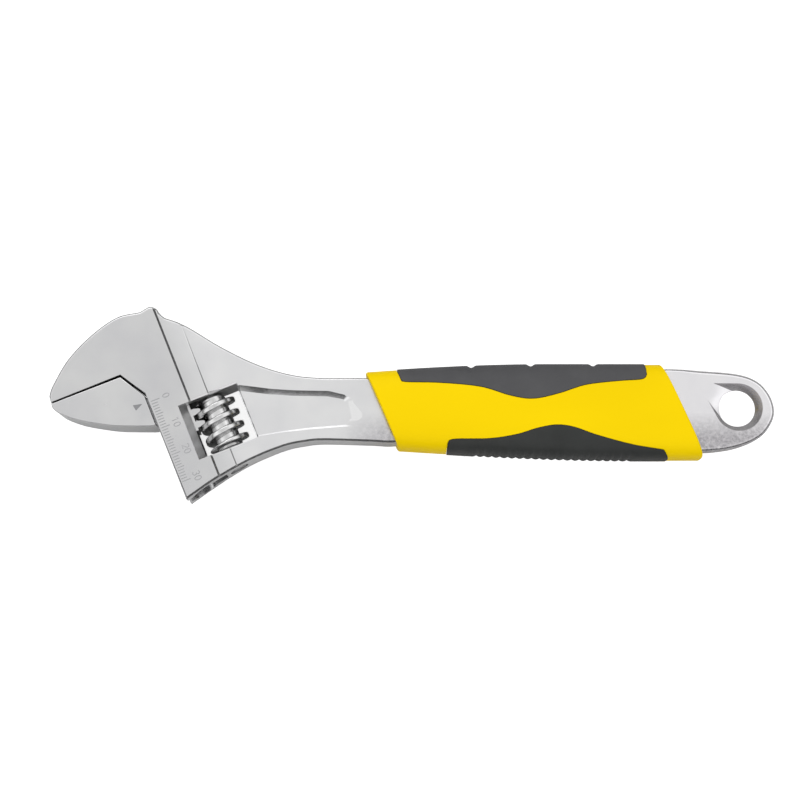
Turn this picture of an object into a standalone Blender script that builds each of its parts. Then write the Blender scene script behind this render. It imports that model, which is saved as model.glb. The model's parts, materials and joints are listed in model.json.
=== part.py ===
"""Adjustable wrench, 250 mm long, with a two-component grip.

The wrench lies flat. X runs along the handle, with the jaws at -X and the hanging hole at +X.
Z is the thickness, and Z = 0 is the surface that the grip rests on.
Head pieces are laid out in the head's own axes: U is the direction in which the movable jaw
opens, and V runs from the slide edge of the head back towards the handle.
"""

import math

import bmesh
import bpy
from mathutils import Matrix, Vector

MM = 0.001

# Driving dimensions, in millimetres and degrees.
HALF_LENGTH = 125.0
HEAD_ANGLE = 22.5
MIDDLE = (0.0, -0.02, 9.492)
GAP = 0.3
OFF_FACET_DEG = 2.0

# Thickness of the forging. Stations are distances along V, each with its half thickness.
HEAD_HALF_THICKNESS = 7.5
HEAD_END_V = 12.9
BAND_END_V = 19.8
FORGING_PROFILE = (
    (-60.0, HEAD_HALF_THICKNESS),
    (HEAD_END_V, HEAD_HALF_THICKNESS),
    (HEAD_END_V + 0.7, 6.9),
    (BAND_END_V, 6.6),
    (BAND_END_V + 0.4, 6.3),
    (42.0, 5.8),
    (74.0, 5.3),
    (88.0, 4.8),
    (110.0, 3.9),
    (150.0, 3.5),
    (175.0, 3.3),
    (260.0, 3.3),
)
FORGING_EDGE = 0.7
BLANK_REACH = 20.0

# Head layout in U and V.
SLIDE_TOP = Vector((-92.1, 2.9))
JAW_FACE_U = -9.5
THROAT_V = -5.6
TIP_V = -31.0
SLIDE_LENGTH = 39.6
WINDOW_U = (8.4, 28.6)
WINDOW_V = (11.3, 30.0)
WINDOW_SLOPE_V = 8.9
WINDOW_SLOPE_DEPTH = 3.9
WINDOW_EDGE = 0.45
RECESS_FLOOR = 4.2
RECESS_START_X = -60.0
RECESS_FALL = 0.008
RECESS_RIM = 6.0
BORE_V = 6.6
BORE_RADIUS = 5.3
BORE_TOP_U = -20.0
SLOT_HALF_WIDTH = 2.75
SLOT_TOP_U = 0.3

# Worm and rack.
WORM_V = 20.1
WORM_LEAD = 4.5
WORM_TIP_RADIUS = 7.4
WORM_ROOT_RADIUS = 4.5
WORM_BORE_RADIUS = 2.2
WORM_U = (9.0, 28.0)
WORM_MIDDLE_U = 18.3
WORM_THREAD_U = (9.9, 26.7)
RIDGE_AT_RACK_U = 14.1
RIDGE_TIP_WIDTH = 1.6
RIDGE_ROOT_WIDTH = 2.8
WORM_SEGMENTS = 32
SPRING_SEAT_RADIUS = 3.6
SPRING_SEAT_DEPTH = 5.2

SHANK_RADIUS = 5.0
SHANK_U = (-19.4, 27.0)
RACK_ROOT_V = 12.2
RACK_TIP_V = 15.2
RACK_HALF_WIDTH = 3.0
RACK_TEETH = 8
TOOTH_BASE = 2.3
TOOTH_TIP = 1.0
TOOTH_SLANT = -0.1075
JAW_HALF_THICKNESS = 7.0
JAW_WEB_U = (0.9, 10.4)
JAW_WEB_HALF_WIDTH = 2.35
JAW_BACK_V = -0.5

# Worm pin and spring.
PIN_RADIUS = 1.9
PIN_U = (3.0, 34.3)
PIN_HEAD_RADIUS = 3.0
PIN_HEAD_LENGTH = 2.2
PIN_SLOT_WIDTH = 0.8
PIN_SLOT_DEPTH = 0.9
SPRING_RADIUS = 2.9
SPRING_WIRE = 0.35
SPRING_TURNS = 4
SPRING_U = (9.25, 13.4)

# Hanging hole.
HOLE_CENTRE = Vector((112.4, -1.1))
HOLE_RADIUS = 6.35
HOLE_SEAT_RADIUS = 6.4
HOLE_RIM_RADIUS = 8.35
HOLE_RIM_DEPTH = 3.1
HOLE_RAMP = (Vector((-8.4, 8.4)), Vector((-10.8, 2.8)))

# Grip.
GRIP_HALF_THICKNESS = 9.3
GRIP_ROUNDNESS = 3.4
GRIP_END_X = (-10.9, 92.4)
GRIP_END_ROUND = 0.6
PAD_THICKNESS = 1.8
PAD_PROUD = 0.25


def head_point(u, v, z=0.0):
    """A point given in the head's axes, in the wrench's own axes."""
    angle = math.radians(HEAD_ANGLE)
    x = SLIDE_TOP.x + u * math.sin(angle) + v * math.cos(angle)
    y = SLIDE_TOP.y - u * math.cos(angle) + v * math.sin(angle)
    return Vector((x, y, z))


def head_matrix(u, v, turn_deg=0.0):
    """Puts a piece's own Z along U, its X along V and its origin at the given U and V."""
    angle = math.radians(HEAD_ANGLE)
    along_u = Vector((math.sin(angle), -math.cos(angle), 0.0))
    along_v = Vector((math.cos(angle), math.sin(angle), 0.0))
    axes = Matrix((along_v, along_u.cross(along_v), along_u)).transposed().to_4x4()
    turn = Matrix.Rotation(math.radians(turn_deg), 4, "Z")
    return Matrix.Translation(head_point(u, v)) @ axes @ turn


def along_v_of(point):
    """Distance of a point from the slide edge, measured along V."""
    angle = math.radians(HEAD_ANGLE)
    return (point.x - SLIDE_TOP.x) * math.cos(angle) + (point.y - SLIDE_TOP.y) * math.sin(angle)


def forging_half_thickness(v):
    """Half thickness of the forging at a distance V from the slide edge."""
    for (start, thick_a), (end, thick_b) in zip(FORGING_PROFILE, FORGING_PROFILE[1:]):
        if v <= end:
            part = max(0.0, (v - start) / (end - start))
            return thick_a + (thick_b - thick_a) * part
    return FORGING_PROFILE[-1][1]


def smooth_run(points, steps):
    """A Catmull-Rom curve through the points, without the last point itself."""
    ends = [points[0] * 2.0 - points[1], *points, points[-1] * 2.0 - points[-2]]
    curve = []
    for a, b, c, d in zip(ends, ends[1:], ends[2:], ends[3:]):
        for step in range(steps):
            t = step / steps
            curve.append(
                0.5 * (2.0 * b + (c - a) * t + (2.0 * a - 5.0 * b + 4.0 * c - d) * t ** 2
                       + (3.0 * b - a - 3.0 * c + d) * t ** 3)
            )
    return curve


def arc(centre, radius, start, end, steps):
    """Points on an arc, from one angle to another in degrees, both ends included."""
    points = []
    for step in range(steps + 1):
        angle = math.radians(start + (end - start) * step / steps)
        points.append(centre + radius * Vector((math.cos(angle), math.sin(angle))))
    return points


def vectors(pairs):
    return [Vector(pair) for pair in pairs]


def offset(outline, distance):
    """The closed outline moved outwards by a distance; it runs counter-clockwise."""
    moved = []
    for index, here in enumerate(outline):
        before = (here - outline[index - 1]).normalized()
        after = (outline[(index + 1) % len(outline)] - here).normalized()
        normal = Vector((before.y + after.y, -before.x - after.x)).normalized()
        spread = max(0.5, normal.dot(Vector((after.y, -after.x))))
        moved.append(here + normal * distance / spread)
    return moved


def body_outline():
    """The forging's outline, counter-clockwise from the tip of the fixed jaw."""
    lower_neck = ((-75.6, -32.6), (-66.5, -26.2), (-55.7, -19.9), (-44.8, -15.3),
                  (-37.4, -13.6), (-30.5, -13.0), (-15.0, -13.4), (-7.0, -13.7), (4.0, -12.4))
    handle_end = ((76.0, -12.8), (89.0, -15.4), (98.6, -16.6), (110.4, -15.3), (119.3, -11.7),
                  (123.8, -6.5), (HALF_LENGTH, -1.6), (123.3, 3.9), (119.2, 8.4), (112.0, 10.9),
                  (98.0, 12.1), (92.0, 12.5), (86.0, 12.3), (81.0, 10.0), (76.0, 8.6))
    upper_neck = ((4.0, 7.6), (-16.3, 8.9), (-32.1, 8.9), (-43.2, 10.2), (-55.0, 14.0),
                  (-67.1, 20.0), (-79.1, 27.2), (-87.4, 30.3))
    fixed_jaw = ((-95.0, 31.8), (-103.0, 29.8), (-111.6, 23.4), (-119.1, 15.0),
                 (-123.9, 6.0), (-HALF_LENGTH, 2.4), (-124.9, 1.2))
    outline = [
        head_point(JAW_FACE_U, TIP_V).xy,
        head_point(JAW_FACE_U, THROAT_V).xy,
        head_point(0.0, 0.0).xy,
        head_point(SLIDE_LENGTH, 0.0).xy,
    ]
    outline += smooth_run(vectors(lower_neck), 4)
    outline += smooth_run(vectors(handle_end), 3)
    outline += smooth_run(vectors(upper_neck), 4)
    outline += arc(Vector((-91.1, 31.0)), 2.75, 12.0, 120.0, 6)
    outline += smooth_run(vectors(fixed_jaw), 3)
    return outline


def new_mesh(name, mesh, matrix=None):
    """Turns a mesh in millimetres into an object in metres."""
    if matrix is not None:
        bmesh.ops.transform(mesh, matrix=matrix, verts=mesh.verts)
    bmesh.ops.recalc_face_normals(mesh, faces=mesh.faces)
    bmesh.ops.scale(mesh, vec=Vector((MM, MM, MM)), verts=mesh.verts)
    data = bpy.data.meshes.new(name)
    mesh.to_mesh(data)
    mesh.free()
    piece = bpy.data.objects.new(name, data)
    bpy.context.collection.objects.link(piece)
    return piece


def move_origin(piece, origin):
    """Puts a piece's origin on a point of the wrench and leaves its shape where it is."""
    piece.data.transform(Matrix.Translation(-origin * MM))
    piece.location = origin * MM


def stack(rings):
    """A closed mesh through a stack of rings that all have the same number of points."""
    mesh = bmesh.new()
    levels = [[mesh.verts.new(point) for point in ring] for ring in rings]
    count = len(levels[0])
    for low, high in zip(levels, levels[1:]):
        for index in range(count):
            other = (index + 1) % count
            mesh.faces.new((low[index], low[other], high[other], high[index]))
    mesh.faces.new(levels[0][::-1])
    mesh.faces.new(levels[-1])
    return mesh


def prism(outline, low, high):
    """A straight prism on a flat outline."""
    return stack([[Vector((p.x, p.y, z)) for p in outline] for z in (low, high)])


def edged_plate(outline, half_thickness, edge):
    """A flat plate about Z = 0 with its edges taken off."""
    rings = []
    for z, inset in ((-half_thickness, edge), (edge - half_thickness, 0.0),
                     (half_thickness - edge, 0.0), (half_thickness, edge)):
        rings.append([Vector((p.x, p.y, z)) for p in offset(outline, -inset)])
    return stack(rings)


def turned(profile, segments):
    """A body turned about Z from a profile of radius and height pairs, low end first."""
    rings = []
    for radius, height in profile:
        rings.append([p.to_3d() + Vector((0.0, 0.0, height))
                      for p in arc(Vector((0.0, 0.0)), radius, 0.0, 360.0, segments)[:-1]])
    return stack(rings)


def box(u_range, v_range, half_z):
    """A box in the head's axes, centred on the forging's middle plane."""
    corners = ((u_range[0], v_range[0]), (u_range[1], v_range[0]),
               (u_range[1], v_range[1]), (u_range[0], v_range[1]))
    return prism([head_point(u, v).xy for u, v in corners], -half_z, half_z)


def cutter(name, mesh, matrix=None):
    """A shape that only cuts or joins, and isn't part of the wrench itself."""
    tool = new_mesh(name, mesh, matrix)
    tool.hide_render = True
    tool.display_type = "WIRE"
    return tool


def combine(piece, tool, operation):
    step = piece.modifiers.new(f"{operation.lower()}_{tool.name}", "BOOLEAN")
    step.operation = operation
    step.solver = "EXACT"
    step.object = tool


def finish(piece, colour, metallic, roughness, smooth_angle=35.0):
    """Gives a piece its material and its shading."""
    material = bpy.data.materials.new(piece.name)
    material.use_nodes = True
    shader = material.node_tree.nodes["Principled BSDF"]
    shader.inputs["Base Color"].default_value = (*colour, 1.0)
    shader.inputs["Metallic"].default_value = metallic
    shader.inputs["Roughness"].default_value = roughness
    piece.data.materials.append(material)
    piece.data.shade_smooth()
    piece.data.set_sharp_from_angle(angle=math.radians(smooth_angle))


def forging_blank(margin):
    """The forging before anything is cut into it, grown by a margin on every side."""
    outline = offset(body_outline(), margin) if margin else body_outline()
    edge_steps = ((0.0, FORGING_EDGE), (FORGING_EDGE * 0.35, FORGING_EDGE * 0.25), (FORGING_EDGE, 0.0))
    rings = []
    for side, steps in ((-1, edge_steps), (1, edge_steps[::-1])):
        for drop, inset in steps:
            height = side * (BLANK_REACH - drop)
            rings.append([Vector((p.x, p.y, height)) for p in offset(outline, -inset)])
    mesh = stack(rings)
    for station, _ in FORGING_PROFILE[1:-1]:
        bmesh.ops.bisect_plane(
            mesh, geom=mesh.verts[:] + mesh.edges[:] + mesh.faces[:], dist=0.001,
            plane_co=head_point(0.0, station), plane_no=head_point(0.0, 1.0) - head_point(0.0, 0.0))
    # The blank is drawn BLANK_REACH thick, and each point then drops to the thickness at its V.
    for vert in mesh.verts:
        drop = BLANK_REACH - abs(vert.co.z)
        height = forging_half_thickness(along_v_of(vert.co)) + margin - drop
        vert.co.z = math.copysign(height, vert.co.z)
    return mesh


def window_cutter():
    """The worm's window, with a sloped wall on its rack side and a small edge on the other."""
    outside = HEAD_HALF_THICKNESS + 2.0
    deep = HEAD_HALF_THICKNESS - WINDOW_SLOPE_DEPTH
    edge_v = WINDOW_V[1] + WINDOW_EDGE
    edge_z = RECESS_FLOOR - WINDOW_EDGE
    upper_half = ((WINDOW_V[1], edge_z), (edge_v, RECESS_FLOOR), (edge_v, outside),
                  (WINDOW_SLOPE_V, outside), (WINDOW_SLOPE_V, HEAD_HALF_THICKNESS), (WINDOW_V[0], deep))
    section = [*upper_half, *((v, -z) for v, z in upper_half[::-1])]
    return cutter("cut_window", stack([[head_point(u, v, z) for v, z in section] for u in WINDOW_U]))


def bore_cutters():
    """The round bore for the jaw's shank, its slot, and the channel that the rack runs in."""
    reach = SLIDE_LENGTH + 6.0
    bore = turned(((BORE_RADIUS, 0.0), (BORE_RADIUS, reach - BORE_TOP_U)), 32)
    return (
        cutter("cut_bore", bore, head_matrix(BORE_TOP_U, BORE_V)),
        cutter("cut_slot", box((SLOT_TOP_U, reach), (-3.0, BORE_V), SLOT_HALF_WIDTH)),
        cutter("cut_rack_channel", box((BORE_TOP_U + 0.4, reach), (BORE_V, RACK_TIP_V + GAP),
                                       RACK_HALF_WIDTH + GAP)),
    )


def pin_hole_cutter():
    """Hole for the worm's pin, with the counterbore for its head at the lower edge."""
    start = PIN_U[0] - GAP
    shoulder = PIN_U[1] - PIN_HEAD_LENGTH - GAP - start
    profile = ((PIN_RADIUS + GAP, 0.0), (PIN_RADIUS + GAP, shoulder),
               (PIN_HEAD_RADIUS + GAP, shoulder), (PIN_HEAD_RADIUS + GAP, shoulder + 12.0))
    return cutter("cut_pin_hole", turned(profile, 24), head_matrix(start, WORM_V))


def neck_recess_cutter(side):
    """The long panel sunk into one face of the neck, from the window towards the grip."""
    # Both rings run from the window's upper corner down, along the neck, and back.
    floor = [head_point(u, v).xy for u, v in ((9.2, 20.4), (26.0, 20.4), (27.5, 29.0))]
    floor += vectors(((-44.5, -9.6), (-36.0, -8.5), (-23.4, -7.4), (-21.8, -5.1), (-23.0, 0.1),
                      (-24.5, 1.6), (-29.4, 2.5), (-41.6, 2.7), (-49.5, 3.2), (-59.7, 4.4)))
    rim = [head_point(u, v).xy for u, v in ((7.5, 20.4), (27.0, 20.4), (28.1, 29.0))]
    rim += vectors(((-44.4, -10.4), (-36.1, -9.5), (-20.6, -8.4), (-14.6, -4.2), (-19.7, 1.9),
                    (-23.4, 3.2), (-29.4, 4.6), (-41.5, 4.6), (-49.5, 5.0), (-59.7, 6.1)))
    rings = [[Vector((p.x, p.y, side * (RECESS_FLOOR - RECESS_FALL * (p.x - RECESS_START_X))))
              for p in floor]]
    rings += [[Vector((p.x, p.y, side * z)) for p in rim] for z in (RECESS_RIM, HEAD_HALF_THICKNESS + 1.0)]
    return cutter(f"cut_neck_recess_{side}", stack(rings))


def hanging_hole_cutters():
    """The hanging hole, and on each face its flare, which runs out towards the grip as a ramp."""
    half = FORGING_PROFILE[-1][1]
    bore = turned(((HOLE_RADIUS, 0.0), (HOLE_RADIUS, 4.0 * half)), 40)
    tools = [cutter("cut_hanging_hole", bore, Matrix.Translation((*HOLE_CENTRE, -2.0 * half)))]
    rim = arc(HOLE_CENTRE, HOLE_RIM_RADIUS, -155.0, 95.0, 30)
    rim += [HOLE_CENTRE + corner for corner in HOLE_RAMP]
    seat = arc(HOLE_CENTRE, HOLE_SEAT_RADIUS, -148.0, 102.0, 30)
    for side in (-1, 1):
        mesh = bmesh.new()
        for point in seat:
            mesh.verts.new((point.x, point.y, side * (half - HOLE_RIM_DEPTH)))
        for point in rim:
            mesh.verts.new((point.x, point.y, side * half))
            mesh.verts.new((point.x, point.y, side * (half + 1.0)))
        hull = bmesh.ops.convex_hull(mesh, input=mesh.verts)
        bmesh.ops.delete(mesh, geom=hull["geom_interior"], context="VERTS")
        bmesh.ops.dissolve_limit(mesh, angle_limit=0.001, verts=mesh.verts, edges=mesh.edges)
        tools.append(cutter(f"cut_hole_flare_{side}", mesh))
    return tools


def make_body(lift):
    body = new_mesh("wrench_body", forging_blank(0.0))
    for tool in (window_cutter(), *bore_cutters(), pin_hole_cutter(),
                 neck_recess_cutter(1), neck_recess_cutter(-1),
                 *hanging_hole_cutters()):
        tool.parent = lift
        combine(body, tool, "DIFFERENCE")
    finish(body, (0.72, 0.72, 0.72), 1.0, 0.28)
    body.parent = lift


def jaw_outline():
    """The movable jaw's outline, counter-clockwise from the tip."""
    corners = ((-9.1, TIP_V - 0.1), (-8.55, THROAT_V - 0.3), (0.6, JAW_BACK_V), (11.6, JAW_BACK_V))
    outline = [head_point(u, v).xy for u, v in corners]
    lower = ((11.2, -2.4), (8.5, -8.8), (6.0, -14.3), (2.8, -19.8), (-0.5, -24.8), (-4.1, -28.9),
             (-6.5, -30.8), (-8.2, -31.3))
    outline += smooth_run([head_point(u, v).xy for u, v in lower], 4)
    return outline[::-1] if signed_area(outline) < 0.0 else outline


def signed_area(outline):
    total = 0.0
    for here, there in zip(outline, outline[1:] + outline[:1]):
        total += here.x * there.y - there.x * here.y
    return total / 2.0


def rack_mesh():
    """The rib on the shank and its teeth, slanted to follow the worm's thread."""
    first = RIDGE_AT_RACK_U + WORM_LEAD / 2.0
    low_end = first + TOOTH_BASE / 2.0 + 0.9
    half_tooth = ((TOOTH_BASE / 2.0, 0.0), (TOOTH_BASE / 2.0, 0.8), (TOOTH_TIP / 2.0 + 0.12, 2.6),
                  (TOOTH_TIP / 2.0 - 0.15, RACK_TIP_V - RACK_ROOT_V))
    teeth = []
    for index in range(RACK_TEETH):
        middle = first - WORM_LEAD * index
        teeth += [(middle + across, RACK_ROOT_V + height) for across, height in half_tooth]
        teeth += [(middle - across, RACK_ROOT_V + height) for across, height in half_tooth[::-1]]
    top_end = first - WORM_LEAD * (RACK_TEETH - 1) - TOOTH_BASE / 2.0 - 1.2
    outline = [(low_end, BORE_V), (low_end, RACK_ROOT_V), *teeth, (top_end, RACK_ROOT_V), (top_end, BORE_V)]
    return stack([[head_point(u + TOOTH_SLANT * z, v, z) for u, v in outline]
                  for z in (-RACK_HALF_WIDTH, RACK_HALF_WIDTH)])


def make_jaw(lift):
    jaw = new_mesh("movable_jaw", edged_plate(jaw_outline(), JAW_HALF_THICKNESS, 0.6))
    web = box(JAW_WEB_U, (JAW_BACK_V - 3.0, BORE_V), JAW_WEB_HALF_WIDTH)
    length = SHANK_U[1] - SHANK_U[0]
    bevel = 0.6
    shank = turned(((SHANK_RADIUS - bevel, 0.0), (SHANK_RADIUS, bevel), (SHANK_RADIUS, length - bevel),
                    (SHANK_RADIUS - bevel, length)), 32)
    for tool in (cutter("join_web", web), cutter("join_shank", shank, head_matrix(SHANK_U[0], BORE_V)),
                 cutter("join_rack", rack_mesh())):
        tool.parent = lift
        combine(jaw, tool, "UNION")
    finish(jaw, (0.7, 0.7, 0.7), 1.0, 0.3)
    move_origin(jaw, head_point(0.0, BORE_V))
    jaw.parent = lift


def thread_mesh():
    """A right-hand thread about Z, longer than the worm at both ends, with closed ends."""
    half_ridge = ((WORM_ROOT_RADIUS, RIDGE_ROOT_WIDTH / 2.0), (WORM_TIP_RADIUS, RIDGE_TIP_WIDTH / 2.0))
    ridge = [(radius, -shift) for radius, shift in half_ridge]
    ridge += [(radius, shift) for radius, shift in half_ridge[::-1]]
    turns = math.ceil((WORM_U[1] - WORM_U[0]) / WORM_LEAD) + 3
    mesh = bmesh.new()
    columns = []
    for step in range(turns * WORM_SEGMENTS + 1):
        angle = 2.0 * math.pi * step / WORM_SEGMENTS
        rise = WORM_LEAD * step / WORM_SEGMENTS
        columns.append([mesh.verts.new((r * math.cos(angle), r * math.sin(angle), rise + shift))
                        for r, shift in ridge])
    last = len(columns) - 1
    for step in range(last):
        here, there = columns[step], columns[step + 1]
        for low in range(3):
            mesh.faces.new((here[low], there[low], there[low + 1], here[low + 1]))
        if step + WORM_SEGMENTS <= last - 1:
            above = columns[step + WORM_SEGMENTS]
            above_next = columns[step + WORM_SEGMENTS + 1]
            mesh.faces.new((here[3], there[3], above_next[0], above[0]))
    low_loop = [column[0] for column in columns[:WORM_SEGMENTS + 1]] + columns[0][:0:-1]
    high_loop = [column[3] for column in columns[last - WORM_SEGMENTS:]] + columns[last][2::-1]
    for loop, height in ((low_loop, 0.0), (high_loop, WORM_LEAD * turns)):
        centre = mesh.verts.new((0.0, 0.0, height))
        for here, there in zip(loop, loop[1:] + loop[:1]):
            mesh.faces.new((centre, here, there))
    return mesh, turns


def make_worm(lift):
    """The adjusting screw: its thread, trimmed to length, bored for the pin and its spring."""
    mesh, turns = thread_mesh()
    length = WORM_U[1] - WORM_U[0]
    # The thread rises along -U, and its ridges cross the rack side at RIDGE_AT_RACK_U.
    start = RIDGE_AT_RACK_U + WORM_LEAD * (turns // 2 + 1)
    place = head_matrix(start, WORM_V) @ Matrix.Rotation(math.pi, 4, "Y")
    worm = new_mesh("worm_screw", mesh, place)
    low = WORM_THREAD_U[0] - WORM_U[0]
    high = WORM_THREAD_U[1] - WORM_U[0]
    collar = WORM_ROOT_RADIUS - 0.1
    crest = WORM_TIP_RADIUS - 0.7
    clear = WORM_TIP_RADIUS + 1.0
    envelope = turned(((collar - 0.4, 0.0), (collar, 0.4), (collar, low), (crest, low + 0.1),
                       (clear, low + 1.0), (clear, high - 1.0), (crest, high - 0.1), (collar, high),
                       (collar, length - 0.4), (collar - 0.4, length)), WORM_SEGMENTS * 2)
    bore = turned(((SPRING_SEAT_RADIUS, -2.0), (SPRING_SEAT_RADIUS, SPRING_SEAT_DEPTH),
                   (WORM_BORE_RADIUS, SPRING_SEAT_DEPTH), (WORM_BORE_RADIUS, length + 2.0)), 24)
    for name, tool_mesh, operation in (("trim_worm", envelope, "INTERSECT"),
                                       ("cut_worm_bore", bore, "DIFFERENCE")):
        tool = cutter(name, tool_mesh, head_matrix(WORM_U[0], WORM_V, OFF_FACET_DEG))
        tool.parent = lift
        combine(worm, tool, operation)
    finish(worm, (0.62, 0.62, 0.62), 1.0, 0.3)
    move_origin(worm, head_point(WORM_MIDDLE_U, WORM_V))
    worm.parent = lift


def make_pin(lift):
    """The slotted pin that carries the worm, with its head in the lower edge of the forging."""
    shoulder = PIN_U[1] - PIN_HEAD_LENGTH - PIN_U[0]
    length = PIN_U[1] - PIN_U[0]
    profile = ((PIN_RADIUS - 0.4, 0.0), (PIN_RADIUS, 0.4), (PIN_RADIUS, shoulder),
               (PIN_HEAD_RADIUS, shoulder), (PIN_HEAD_RADIUS, length - 0.3),
               (PIN_HEAD_RADIUS - 0.3, length))
    pin = new_mesh("worm_pin", turned(profile, 24), head_matrix(PIN_U[0], WORM_V))
    slot = box((PIN_U[1] - PIN_SLOT_DEPTH, PIN_U[1] + 1.0), (WORM_V - 5.0, WORM_V + 5.0),
               PIN_SLOT_WIDTH / 2.0)
    tool = cutter("cut_pin_slot", slot)
    tool.parent = lift
    combine(pin, tool, "DIFFERENCE")
    finish(pin, (0.5, 0.5, 0.5), 1.0, 0.35)
    move_origin(pin, head_point(PIN_U[0], WORM_V))
    pin.parent = lift


def make_spring(lift):
    """The small coil spring that presses on the worm."""
    steps = 14
    sides = 6
    rise = (SPRING_U[1] - SPRING_U[0] - 2.0 * SPRING_WIRE) / (SPRING_TURNS * steps)
    rings = []
    for step in range(SPRING_TURNS * steps + 1):
        angle = 2.0 * math.pi * step / steps
        outward = Vector((math.cos(angle), math.sin(angle), 0.0))
        centre = outward * SPRING_RADIUS + Vector((0.0, 0.0, SPRING_WIRE + rise * step))
        rings.append([centre + outward * p.x + Vector((0.0, 0.0, p.y))
                      for p in arc(Vector((0.0, 0.0)), SPRING_WIRE, 0.0, 360.0, sides)[:-1]])
    spring = new_mesh("worm_spring", stack(rings), head_matrix(SPRING_U[0], WORM_V))
    finish(spring, (0.5, 0.5, 0.52), 1.0, 0.3)
    move_origin(spring, head_point(SPRING_U[0], WORM_V))
    spring.parent = lift


def grip_section(x):
    """Middle and half width of the grip at a place along the handle."""
    top = 10.9 + 3.05 * math.sin(min(1.0, (x + 16.0) / 70.0) * math.pi / 2.0)
    bottom = -15.8 - 3.25 * math.sin(min(1.0, (x + 10.0) / 80.0) * math.pi / 2.0)
    return (top + bottom) / 2.0, (top - bottom) / 2.0


def grip_mesh(margin, end_margin, sides=32, stations=18):
    """The grip's outer shape, grown by a margin, with slanted and rounded ends."""
    start, end = GRIP_END_X[0] - end_margin, GRIP_END_X[1] + end_margin
    length = end - start - 2.0 * GRIP_END_ROUND
    halfway = 0.35 * GRIP_END_ROUND
    places = [(start, GRIP_END_ROUND), (start + halfway, halfway)]
    places += [(start + GRIP_END_ROUND + length * step / stations, 0.0) for step in range(stations + 1)]
    places += [(end - halfway, halfway), (end, GRIP_END_ROUND)]
    slant = math.tan(math.radians(HEAD_ANGLE))
    rings = []
    for x, inset in places:
        middle, half_width = grip_section(x)
        wide = half_width + margin - inset
        thick = GRIP_HALF_THICKNESS + margin - inset
        ring = []
        for side in range(sides):
            angle = 2.0 * math.pi * side / sides
            across = math.copysign(abs(math.cos(angle)) ** (2.0 / GRIP_ROUNDNESS), math.cos(angle))
            up = math.copysign(abs(math.sin(angle)) ** (2.0 / GRIP_ROUNDNESS), math.sin(angle))
            real_x = x - across * (half_width + margin) * slant
            ring.append(Vector((real_x, middle + across * wide, up * thick)))
        rings.append(ring)
    return stack(rings)


def upper_pad_outline():
    """The upper pad's edge on the grip's face, and a run well outside the grip."""
    low = vectors(((-4.2, 7.6), (-2.6, 6.8), (9.1, 6.5), (22.9, 5.1), (33.1, 2.0), (41.0, 0.9),
                   (49.9, 2.8), (59.3, 5.8), (71.0, 7.2), (78.4, 7.8), (80.2, 9.6)))
    return [Vector((-6.5, 20.0)), Vector((-5.5, 10.9)), *smooth_run(low, 3), Vector((79.9, 13.2)),
            Vector((79.0, 20.0))]


def lower_pad_outline():
    """The lower pad's edge on the grip's face, and a run well outside the grip."""
    high = vectors(((85.2, -16.7), (74.4, -15.0), (62.6, -11.9), (54.8, -9.2), (48.8, -8.4),
                    (42.3, -9.5), (35.3, -11.6), (26.0, -13.0), (13.8, -13.2), (11.6, -14.6)))
    return [Vector((90.0, -24.0)), Vector((88.4, -20.6)), *smooth_run(high, 3), Vector((11.5, -17.0)),
            Vector((13.0, -24.0))]


def make_pad(name, outline, colour, lift):
    """A soft pad let into the grip: a slice of a shell that wraps round the grip's edge."""
    pad = new_mesh(name, prism(outline, -20.0, 20.0))
    outer = cutter(f"trim_{name}", grip_mesh(PAD_PROUD, 0.0))
    inner = cutter(f"hollow_{name}", grip_mesh(-PAD_THICKNESS, 3.0))
    for tool, operation in ((outer, "INTERSECT"), (inner, "DIFFERENCE")):
        tool.parent = lift
        combine(pad, tool, operation)
    finish(pad, colour, 0.0, 0.6)
    pad.parent = lift


def make_grip_core(pad_outlines, lift):
    """The hard sleeve of the grip, with the pads' pockets and the cavity for the tang."""
    core = new_mesh("grip_core", grip_mesh(0.0, 0.0))
    for number, outline in enumerate(pad_outlines):
        pocket = cutter(f"cut_pocket_{number}", prism(offset(outline, GAP), -20.0, 20.0))
        floor = cutter(f"floor_pocket_{number}", grip_mesh(-PAD_THICKNESS - GAP, 3.0))
        floor.parent = lift
        combine(pocket, floor, "DIFFERENCE")
        pocket.parent = lift
        combine(core, pocket, "DIFFERENCE")
    tang = cutter("cut_tang", forging_blank(GAP))
    tang.parent = lift
    combine(core, tang, "DIFFERENCE")
    finish(core, (0.95, 0.68, 0.0), 0.0, 0.4)
    core.parent = lift


def clear_scene():
    for thing in list(bpy.data.objects):
        bpy.data.objects.remove(thing, do_unlink=True)


def main():
    clear_scene()
    lift = bpy.data.objects.new("middle_plane", None)
    bpy.context.collection.objects.link(lift)
    lift.location = Vector(MIDDLE) * MM
    make_body(lift)
    make_jaw(lift)
    make_worm(lift)
    make_pin(lift)
    make_spring(lift)
    upper = upper_pad_outline()
    lower = lower_pad_outline()
    make_pad("grip_pad_upper", upper, (0.09, 0.09, 0.095), lift)
    make_pad("grip_pad_lower", lower, (0.03, 0.032, 0.03), lift)
    make_grip_core((upper, lower), lift)


main()
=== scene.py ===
import json
import math

import bmesh
import bpy
from mathutils import Matrix, Vector


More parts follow.
